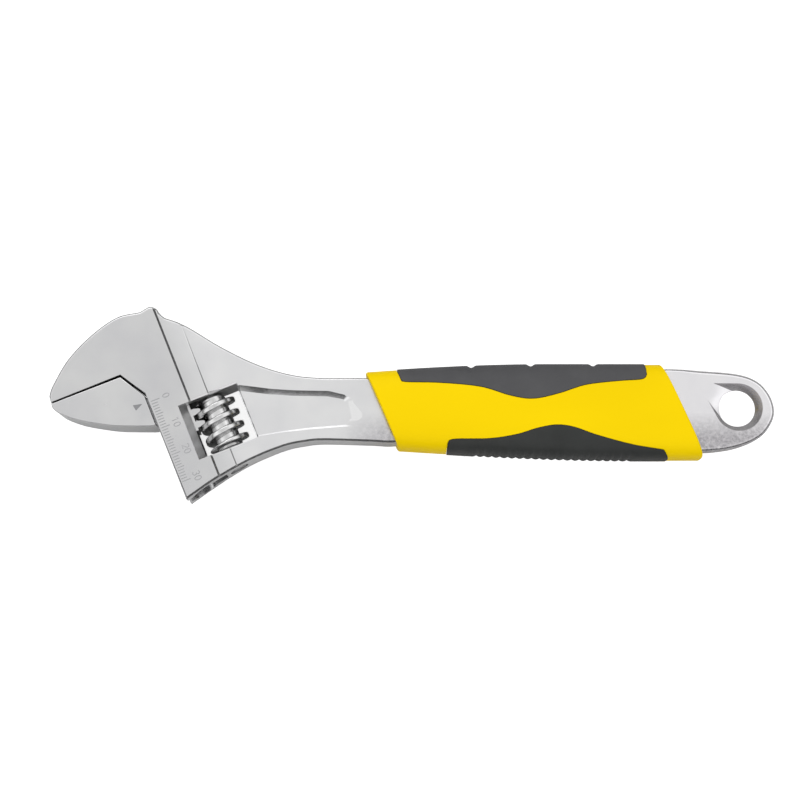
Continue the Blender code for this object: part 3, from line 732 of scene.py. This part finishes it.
def hanging_hole_tools():
    """The hanging hole, and on each face its flare, which runs out towards the grip as a ramp."""
    half = FORGING_PROFILE[-1][1]
    bore = turned(((HOLE_RADIUS, 0.0), (HOLE_RADIUS, 4.0 * half)), 96)
    shapes = [tool("hanging_hole", bore, Matrix.Translation((*HOLE_CENTRE, -2.0 * half)))]
    rim = arc(HOLE_CENTRE, HOLE_RIM_RADIUS, -155.0, 95.0, 75)
    rim += [HOLE_CENTRE + corner for corner in HOLE_RAMP]
    seat = arc(HOLE_CENTRE, HOLE_SEAT_RADIUS, -148.0, 102.0, 75)
    for side in (-1, 1):
        mesh = bmesh.new()
        for point in seat:
            mesh.verts.new((point.x, point.y, side * (half - HOLE_RIM_DEPTH)))
        for point in rim:
            mesh.verts.new((point.x, point.y, side * half))
            mesh.verts.new((point.x, point.y, side * (half + 1.0)))
        hull = bmesh.ops.convex_hull(mesh, input=mesh.verts)
        bmesh.ops.delete(mesh, geom=hull["geom_interior"], context="VERTS")
        bmesh.ops.dissolve_limit(mesh, angle_limit=0.001, verts=mesh.verts, edges=mesh.edges)
        shapes.append(tool(f"hole_flare_{side}", mesh))
    return shapes


def stroke(points, width, low, high):
    """A closed bar of one width that follows a line of points, with mitred bends."""
    left = []
    right = []
    for index, here in enumerate(points):
        before = here - points[index - 1] if index else points[1] - here
        after = points[index + 1] - here if index + 1 < len(points) else before
        along = (before.normalized() + after.normalized()).normalized()
        side = Vector((-along.y, along.x)) * width / 2.0
        left.append(here + side)
        right.append(here - side)
    return prism(right + left[::-1], low, high)


def numeral_lines(digit):
    """The strokes of a plain numeral in a cell one unit high, as lines of points."""
    ring = [Vector((0.3 + 0.24 * math.cos(a), 0.5 + 0.44 * math.sin(a)))
            for a in (math.radians(15.0 * step) for step in range(24))]
    shapes = {
        "0": [ring[:13], ring[12:] + ring[:1]],
        "1": [vectors(((0.12, 0.76), (0.34, 0.95), (0.34, 0.05)))],
        "2": [arc(Vector((0.3, 0.7)), 0.24, 160.0, -35.0, 10) + vectors(((0.05, 0.06), (0.56, 0.06)))],
        "3": [arc(Vector((0.28, 0.72)), 0.22, 150.0, -90.0, 10),
              arc(Vector((0.28, 0.28)), 0.24, 90.0, -150.0, 10)],
    }
    return shapes[digit]


def scale_tools():
    """The engraved millimetre scale: its ticks, and two tools for the strokes of its numerals."""
    ticks = []
    first_strokes = []
    second_strokes = []
    for mark in range(SCALE_LENGTH + 1):
        u = SCALE_START_U + mark
        length = TICK_LENGTH
        for step, longer in TICK_LENGTHS.items():
            if mark % 10 == step:
                length = longer
        ticks.append([head_point(u, TICK_V).xy, head_point(u, TICK_V + length).xy])
        if mark % 10:
            continue
        text = str(mark)
        for place, digit in enumerate(text):
            # The numerals read along U, with their feet towards the ticks.
            along = NUMERAL_SPACING * (place - len(text) / 2.0)
            lines = [[head_point(u + (p.x + along) * NUMERAL_HEIGHT,
                                 NUMERAL_V + (p.y - 0.5) * NUMERAL_HEIGHT).xy for p in line]
                     for line in numeral_lines(digit)]
            first_strokes.append(lines[0])
            second_strokes += lines[1:]
    tools_made = []
    for number, bars in enumerate((ticks, first_strokes, second_strokes)):
        joined = bmesh.new()
        for points in bars:
            bar = stroke(points, TICK_WIDTH, HEAD_HALF - SCALE_DEPTH, HEAD_HALF + CUT_CLEAR)
            data = bpy.data.meshes.new("bar")
            bar.to_mesh(data)
            bar.free()
            joined.from_mesh(data)
            bpy.data.meshes.remove(data)
        tools_made.append(tool(f"scale_{number}", joined))
    return tools_made


def make_body():
    body = new_piece("forged_body", forging_blank(0.0, FORGING_EDGE, 5))
    for shape in (window_tool(), *bore_tools(), pin_hole_tool(),
                  neck_recess_tool(1), neck_recess_tool(-1), *hanging_hole_tools(), *scale_tools()):
        combine(body, shape)
    settle(body)
    finish(body, body_chrome(), "handle", "forged_chrome", "wrench_body")


# Movable jaw

def jaw_outline():
    """The movable jaw's outline, counter-clockwise."""
    corners = ((-9.15, TIP_V - 0.1), (-8.8, THROAT_V - 0.3), (0.6, JAW_BACK_V), (11.6, JAW_BACK_V))
    lower = ((11.2, -2.4), (8.5, -8.8), (6.0, -14.3), (2.8, -19.8), (-0.5, -24.8), (-4.1, -28.9),
             (-6.5, -30.8), (-8.2, -31.3))
    outline = [head_point(u, v).xy for u, v in corners]
    outline += smooth_run([head_point(u, v).xy for u, v in lower], 8)
    area = sum(here.cross(there) for here, there in zip(outline, outline[1:] + outline[:1]))
    return outline[::-1] if area < 0.0 else outline


def rack_mesh():
    """The rib on the shank and its teeth, slanted to follow the worm's thread."""
    first = RIDGE_AT_RACK_U + WORM_LEAD / 2.0
    low_end = first + TOOTH_BASE / 2.0 + 0.9
    half_tooth = ((TOOTH_BASE / 2.0, 0.0), (TOOTH_BASE / 2.0, 0.8), (TOOTH_TIP / 2.0 + 0.12, 2.6),
                  (TOOTH_TIP / 2.0 - 0.15, RACK_TIP_V - RACK_ROOT_V))
    teeth = []
    for index in range(RACK_TEETH):
        middle = first - WORM_LEAD * index
        teeth += [(middle + across, RACK_ROOT_V + height) for across, height in half_tooth]
        teeth += [(middle - across, RACK_ROOT_V + height) for across, height in half_tooth[::-1]]
    top_end = first - WORM_LEAD * (RACK_TEETH - 1) - TOOTH_BASE / 2.0 - 1.2
    outline = [(low_end, BORE_V), (low_end, RACK_ROOT_V), *teeth,
               (top_end, RACK_ROOT_V), (top_end, BORE_V)]
    return stack([[head_point(u + TOOTH_SLANT * z, v, z) for u, v in outline]
                  for z in (-RACK_HALF_WIDTH, RACK_HALF_WIDTH)])


def make_jaw():
    jaw = new_piece("sliding_jaw", rounded_plate(jaw_outline(), JAW_HALF, JAW_EDGE, 5))
    length = SHANK_U[1] - SHANK_U[0]
    shank = turned(((SHANK_RADIUS - SHANK_CHAMFER, 0.0), (SHANK_RADIUS, SHANK_CHAMFER),
                    (SHANK_RADIUS, length - SHANK_CHAMFER), (SHANK_RADIUS - SHANK_CHAMFER, length)), 64)
    web = head_box(JAW_WEB_U, (JAW_BACK_V - 3.0, BORE_V), JAW_WEB_HALF_WIDTH)
    for shape in (tool("web", web), tool("shank", shank, head_matrix(SHANK_U[0], BORE_V)),
                  tool("rack", rack_mesh())):
        combine(jaw, shape, "UNION")
    arrow = [head_point(u, v).xy for u, v in ((3.0, -2.2), (2.2, -5.4), (4.4, -5.0))]
    combine(jaw, tool("pointer", prism(arrow, JAW_HALF - SCALE_DEPTH, JAW_HALF + CUT_CLEAR)))
    settle(jaw)
    finish(jaw, jaw_chrome(), "jaw", "jaw_chrome", "movable_jaw")


# Worm, pin and spring

def thread_mesh():
    """A right-hand thread about Z with rounded ridges, longer than the worm at both ends."""
    half_ridge = ((WORM_ROOT_RADIUS, 1.5), (WORM_ROOT_RADIUS + 0.15, 1.36),
                  (WORM_TIP_RADIUS - 0.5, 0.95), (WORM_TIP_RADIUS - 0.2, 0.85),
                  (WORM_TIP_RADIUS - 0.05, 0.65), (WORM_TIP_RADIUS, 0.4))
    ridge = [(radius, -shift) for radius, shift in half_ridge]
    ridge += [(radius, shift) for radius, shift in half_ridge[::-1]]
    turns = math.ceil((WORM_U[1] - WORM_U[0]) / WORM_LEAD) + 3
    mesh = bmesh.new()
    columns = []
    for step in range(turns * WORM_SEGMENTS + 1):
        angle = 2.0 * math.pi * step / WORM_SEGMENTS
        rise = WORM_LEAD * step / WORM_SEGMENTS
        columns.append([mesh.verts.new((r * math.cos(angle), r * math.sin(angle), rise + shift))
                        for r, shift in ridge])
    last = len(columns) - 1
    top = len(ridge) - 1
    for step in range(last):
        here, there = columns[step], columns[step + 1]
        for low in range(top):
            mesh.faces.new((here[low], there[low], there[low + 1], here[low + 1]))
        if step + WORM_SEGMENTS <= last - 1:
            above = columns[step + WORM_SEGMENTS]
            above_next = columns[step + WORM_SEGMENTS + 1]
            mesh.faces.new((here[top], there[top], above_next[0], above[0]))
    low_loop = [column[0] for column in columns[:WORM_SEGMENTS + 1]] + columns[0][:0:-1]
    high_loop = [column[top] for column in columns[last - WORM_SEGMENTS:]] + columns[last][top - 1::-1]
    for loop, height in ((low_loop, 0.0), (high_loop, WORM_LEAD * turns)):
        centre = mesh.verts.new((0.0, 0.0, height))
        for here, there in zip(loop, loop[1:] + loop[:1]):
            mesh.faces.new((centre, here, there))
    return mesh, turns


def make_worm():
    """The adjusting screw: its thread, trimmed to length, bored for the pin and its spring."""
    mesh, turns = thread_mesh()
    length = WORM_U[1] - WORM_U[0]
    # The thread rises along -U, and its ridges cross the rack side at RIDGE_AT_RACK_U.
    start = RIDGE_AT_RACK_U + WORM_LEAD * (turns // 2 + 1)
    place = head_matrix(start, WORM_V) @ Matrix.Rotation(math.pi, 4, "Y")
    worm = new_piece("knurled_screw", mesh, place)
    low = WORM_THREAD_START_U - WORM_U[0]
    collar = WORM_ROOT_RADIUS - 0.1
    half_envelope = ((collar - 0.4, 0.0), (collar, 0.4), (collar, low),
                     (WORM_TIP_RADIUS - 0.7, low + 0.1), (WORM_TIP_RADIUS - 0.1, low + 0.5),
                     (WORM_TIP_RADIUS + 1.0, low + 1.4))
    envelope = [*half_envelope, *((radius, length - height) for radius, height in half_envelope[::-1])]
    bore = ((SPRING_SEAT_RADIUS, -2.0), (SPRING_SEAT_RADIUS, SPRING_SEAT_DEPTH),
            (WORM_BORE_RADIUS, SPRING_SEAT_DEPTH), (WORM_BORE_RADIUS, length + 2.0))
    combine(worm, tool("trim", turned(envelope, 96), head_matrix(WORM_U[0], WORM_V, 2.0)), "INTERSECT")
    combine(worm, tool("worm_bore", turned(bore, 48), head_matrix(WORM_U[0], WORM_V, 2.0)))
    settle(worm, 40.0)
    material = turned_steel("screw_steel", (0.58, 0.58, 0.58), (0.72, 0.72, 0.72), 0.2)
    finish(worm, material, "worm", "screw_steel", "worm_screw")


def make_pin():
    shoulder = PIN_U[1] - PIN_HEAD_LENGTH - PIN_U[0]
    length = PIN_U[1] - PIN_U[0]
    profile = ((PIN_RADIUS - 0.4, 0.0), (PIN_RADIUS, 0.4), (PIN_RADIUS, shoulder - 0.15),
               (PIN_RADIUS + 0.15, shoulder), (PIN_HEAD_RADIUS - 0.15, shoulder),
               (PIN_HEAD_RADIUS, shoulder + 0.15), (PIN_HEAD_RADIUS, length - 0.35),
               (PIN_HEAD_RADIUS - 0.12, length - 0.1), (PIN_HEAD_RADIUS - 0.4, length))
    pin = new_piece("slotted_pin", turned(profile, 48), head_matrix(PIN_U[0], WORM_V))
    slot = head_box((PIN_U[1] - PIN_SLOT_DEPTH, PIN_U[1] + 1.0), (WORM_V - 5.0, WORM_V + 5.0),
                    PIN_SLOT_WIDTH / 2.0)
    combine(pin, tool("pin_slot", slot))
    settle(pin)
    material = turned_steel("pin_steel", (0.4, 0.4, 0.41), (0.56, 0.56, 0.56), 0.26)
    finish(pin, material, "handle", "pin_steel", "worm_pin")


def make_spring():
    """The small coil spring that presses on the worm, wound from round wire."""
    steps = 36
    sides = 12
    rise = (SPRING_U[1] - SPRING_U[0] - 2.0 * SPRING_WIRE) / (SPRING_TURNS * steps)
    rings = []
    for step in range(SPRING_TURNS * steps + 1):
        angle = 2.0 * math.pi * step / steps
        outward = Vector((math.cos(angle), math.sin(angle), 0.0))
        centre = outward * SPRING_RADIUS + Vector((0.0, 0.0, SPRING_WIRE + rise * step))
        rings.append([centre + outward * p.x + Vector((0.0, 0.0, p.y))
                      for p in arc(Vector((0.0, 0.0)), SPRING_WIRE, 0.0, 360.0, sides)[:-1]])
    spring = new_piece("screw_spring", stack(rings), head_matrix(SPRING_U[0], WORM_V))
    settle(spring, 60.0)
    material = turned_steel("spring_wire", (0.36, 0.36, 0.38), (0.5, 0.5, 0.52), 0.22)
    finish(spring, material, "handle", "spring_steel", "worm_spring")


# Grip

def grip_section(x):
    """Middle and half width of the grip at a place along the handle."""
    top = 10.9 + 3.05 * math.sin(min(1.0, (x + 16.0) / 70.0) * math.pi / 2.0)
    bottom = -15.8 - 3.25 * math.sin(min(1.0, (x + 10.0) / 80.0) * math.pi / 2.0)
    return (top + bottom) / 2.0, (top - bottom) / 2.0


def notch_relief(x, across):
    """Three shallow finger notches across the upper edge."""
    depth = 0.0
    for place in NOTCH_X:
        away = abs(x - place) / (NOTCH_WIDTH / 2.0)
        if away < 1.0:
            depth = NOTCH_DEPTH * (0.5 + 0.5 * math.cos(math.pi * away))
    return depth * min(1.0, max(0.0, (across - 0.75) / 0.2))


def rib_relief(x, across):
    """A row of small ribs along the lower edge."""
    if not RIB_X[0] < x < RIB_X[1]:
        return 0.0
    wave = 1.0 - abs(math.cos(math.pi * (x - RIB_X[0]) / RIB_PITCH))
    return RIB_DEPTH * wave * min(1.0, max(0.0, (-across - 0.86) / 0.12))


def grip_mesh(margin, end_margin, stations=GRIP_STEPS, relief=None):
    """The grip's outer shape, grown by a margin, with slanted and rounded ends."""
    sides = 96
    start, end = GRIP_END_X[0] - end_margin, GRIP_END_X[1] + end_margin
    rounding = edge_steps(GRIP_END_ROUND, 5)
    places = [(start + drop, inset) for inset, drop in rounding]
    length = end - start - 2.0 * GRIP_END_ROUND
    places += [(start + GRIP_END_ROUND + length * step / stations, 0.0) for step in range(1, stations)]
    places += [(end - drop, inset) for inset, drop in rounding[::-1]]
    slant = math.tan(math.radians(HEAD_ANGLE))
    rings = []
    for x, inset in places:
        middle, half_width = grip_section(x)
        wide = half_width + margin - inset
        thick = GRIP_HALF_THICKNESS + margin - inset
        ring = []
        for side in range(sides):
            angle = 2.0 * math.pi * side / sides
            across = math.copysign(abs(math.cos(angle)) ** (2.0 / GRIP_ROUNDNESS), math.cos(angle))
            up = math.copysign(abs(math.sin(angle)) ** (2.0 / GRIP_ROUNDNESS), math.sin(angle))
            real_x = x - across * (half_width + margin) * slant
            if relief:
                across *= 1.0 - relief(real_x, across) / wide
            ring.append(Vector((real_x, middle + across * wide, up * thick)))
        rings.append(ring)
    return stack(rings)


def upper_pad_outline():
    """The upper pad's edge on the grip's face, and a run well outside the grip."""
    low = vectors(((-4.2, 7.6), (-2.6, 6.8), (9.1, 6.5), (22.9, 5.1), (33.1, 2.0), (41.0, 0.9),
                   (49.9, 2.8), (59.3, 5.8), (71.0, 7.2), (78.4, 7.8), (80.2, 9.6)))
    return [Vector((-6.5, PAD_REACH)), Vector((-5.5, 10.9)), *smooth_run(low, 8), Vector((79.9, 13.2)),
            Vector((79.0, PAD_REACH))]


def lower_pad_outline():
    """The lower pad's edge on the grip's face, and a run well outside the grip."""
    high = vectors(((85.2, -16.7), (74.4, -15.0), (62.6, -11.9), (54.8, -9.2), (48.8, -8.4),
                    (42.3, -9.5), (35.3, -11.6), (26.0, -13.0), (13.8, -13.2), (11.6, -14.6)))
    return [Vector((90.0, -24.0)), Vector((88.4, -20.6)), *smooth_run(high, 8), Vector((11.5, -17.0)),
            Vector((13.0, -24.0))]


def make_pad(name, outline, relief, stations, material, slot, cad_node):
    """A soft pad let into the grip: a slice of a shell that wraps round the grip's edge."""
    pad = new_piece(name, prism(outline, -PAD_REACH, PAD_REACH))
    outer = grip_mesh(PAD_PROUD, 0.0, stations=stations, relief=relief)
    combine(pad, tool("pad_outside", outer), "INTERSECT")
    combine(pad, tool("pad_inside", grip_mesh(-PAD_THICKNESS, 3.0)))
    soften(pad, 0.22, 3, 50.0)
    settle(pad, 40.0)
    finish(pad, material, "handle", slot, cad_node)


def make_sleeve():
    """The hard sleeve of the grip, with the pads' pockets and the cavity for the tang."""
    sleeve = new_piece("grip_sleeve", grip_mesh(0.0, 0.0))
    for number, outline in enumerate((upper_pad_outline(), lower_pad_outline())):
        pocket = tool(f"pocket_{number}", prism(offset(outline, PAD_SEAM), -PAD_REACH, PAD_REACH))
        combine(pocket, tool(f"pocket_floor_{number}", grip_mesh(-PAD_THICKNESS - GAP, 3.0)))
        combine(sleeve, pocket)
    combine(sleeve, tool("tang", forging_blank(GAP, 0.7, 3)))
    soften(sleeve, 0.12, 2, 50.0)
    settle(sleeve, 40.0)
    finish(sleeve, moulded_plastic(), "handle", "yellow_grip", "grip_core")


# Studio

CAMERA_DISTANCE = 500.0 * MM
CAMERA_TILT = math.radians(10.8)
CAMERA_TARGET = (ORIGIN + Vector((-4.6, 2.0, 0.0))) * MM
CAMERA_LENS = 64.64
SENSOR_WIDTH = 36.0

# Glow of the light tent, by the height of a direction over the horizon (its Z).
TENT_SCALE = 2.0
TENT = ((0.0, 0.08), (0.28, 0.1), (0.5, 1.0), (0.72, 1.3), (0.9, 0.98), (1.0, 0.93))


def make_camera():
    """Looks down at the wrench from a little way towards its lower side."""
    back = Vector((0.0, -math.sin(CAMERA_TILT), math.cos(CAMERA_TILT)))
    right = Vector((1.0, 0.0, 0.0))
    up = back.cross(right)
    data = bpy.data.cameras.new("camera")
    data.lens = CAMERA_LENS
    data.sensor_width = SENSOR_WIDTH
    camera = bpy.data.objects.new("camera", data)
    bpy.context.scene.collection.objects.link(camera)
    place = Matrix((right, up, back)).transposed().to_4x4()
    place.translation = CAMERA_TARGET + back * CAMERA_DISTANCE
    camera.matrix_world = place
    bpy.context.scene.camera = camera


def make_floor():
    """A plain white table top; the camera sees it nearly evenly white, as on a light table."""
    half = 4.0
    mesh = bpy.data.meshes.new("floor")
    mesh.from_pydata([(-half, -half, 0), (half, -half, 0), (half, half, 0), (-half, half, 0)], [],
                     [(0, 1, 2, 3)])
    floor = bpy.data.objects.new("floor", mesh)
    bpy.context.scene.collection.objects.link(floor)
    material, tree, shader = new_material("white_table")
    shader.inputs["Base Color"].default_value = (0.7, 0.7, 0.7, 1.0)
    shader.inputs["Roughness"].default_value = 0.9
    shader.inputs["Emission Color"].default_value = (1.0, 1.0, 1.0, 1.0)
    seen = node(tree, "ShaderNodeLightPath").outputs["Is Camera Ray"]
    glow = node(tree, "ShaderNodeMath", {0: seen, 1: 0.8}, operation="MULTIPLY")
    tree.links.new(glow.outputs[0], shader.inputs["Emission Strength"])
    mesh.materials.append(material)


def area_light(name, location, size, power):
    data = bpy.data.lights.new(name, "AREA")
    data.shape = "RECTANGLE"
    data.size = size[0]
    data.size_y = size[1]
    data.energy = power
    light = bpy.data.objects.new(name, data)
    bpy.context.scene.collection.objects.link(light)
    light.location = location
    light.rotation_euler = (-Vector(location)).to_track_quat("-Z", "Y").to_euler()


def make_lights():
    """A light tent with a brighter ring round its top and a dark skirt, and one soft lamp."""
    world = bpy.data.worlds.new("studio")
    bpy.context.scene.world = world
    world.use_nodes = True
    tree = world.node_tree
    background = tree.nodes["Background"]
    place = node(tree, "ShaderNodeTexCoord")
    axes = node(tree, "ShaderNodeSeparateXYZ", {"Vector": place.outputs["Generated"]})
    tent = node(tree, "ShaderNodeFloatCurve", {"Value": axes.outputs["Z"]})
    curve = tent.mapping.curves[0]
    curve.points[0].location = (0.0, TENT[0][1] / TENT_SCALE)
    curve.points[1].location = (1.0, TENT[-1][1] / TENT_SCALE)
    for height, glow in TENT[1:-1]:
        curve.points.new(height, glow / TENT_SCALE)
    tent.mapping.update()
    glow = maths(tree, "MULTIPLY", tent.outputs["Value"], TENT_SCALE)
    seen = node(tree, "ShaderNodeLightPath").outputs["Is Camera Ray"]
    strength = node(tree, "ShaderNodeMath", {0: seen, 1: glow}, operation="MAXIMUM")
    tree.links.new(strength.outputs[0], background.inputs["Strength"])
    background.inputs["Color"].default_value = (1.0, 1.0, 1.0, 1.0)
    area_light("key", (-0.35, 0.75, 0.8), (0.6, 0.5), 1.2)
    bpy.context.scene.view_settings.view_transform = "Standard"


make_camera()
make_body()
make_jaw()
make_worm()
make_pin()
make_spring()
make_sleeve()
make_pad("grip_pad_top", upper_pad_outline(), notch_relief, UPPER_PAD_STEPS,
         soft_rubber("dark_grey_rubber", (0.074, 0.074, 0.078), (0.086, 0.086, 0.09), 0.62),
         "dark_grey_soft", "grip_pad_upper")
make_pad("grip_pad_ribbed", lower_pad_outline(), rib_relief, LOWER_PAD_STEPS,
         soft_rubber("black_rubber", (0.026, 0.028, 0.027), (0.034, 0.036, 0.035), 0.55),
         "dark_ribbed_soft", "grip_pad_lower")
make_floor()
make_lights()
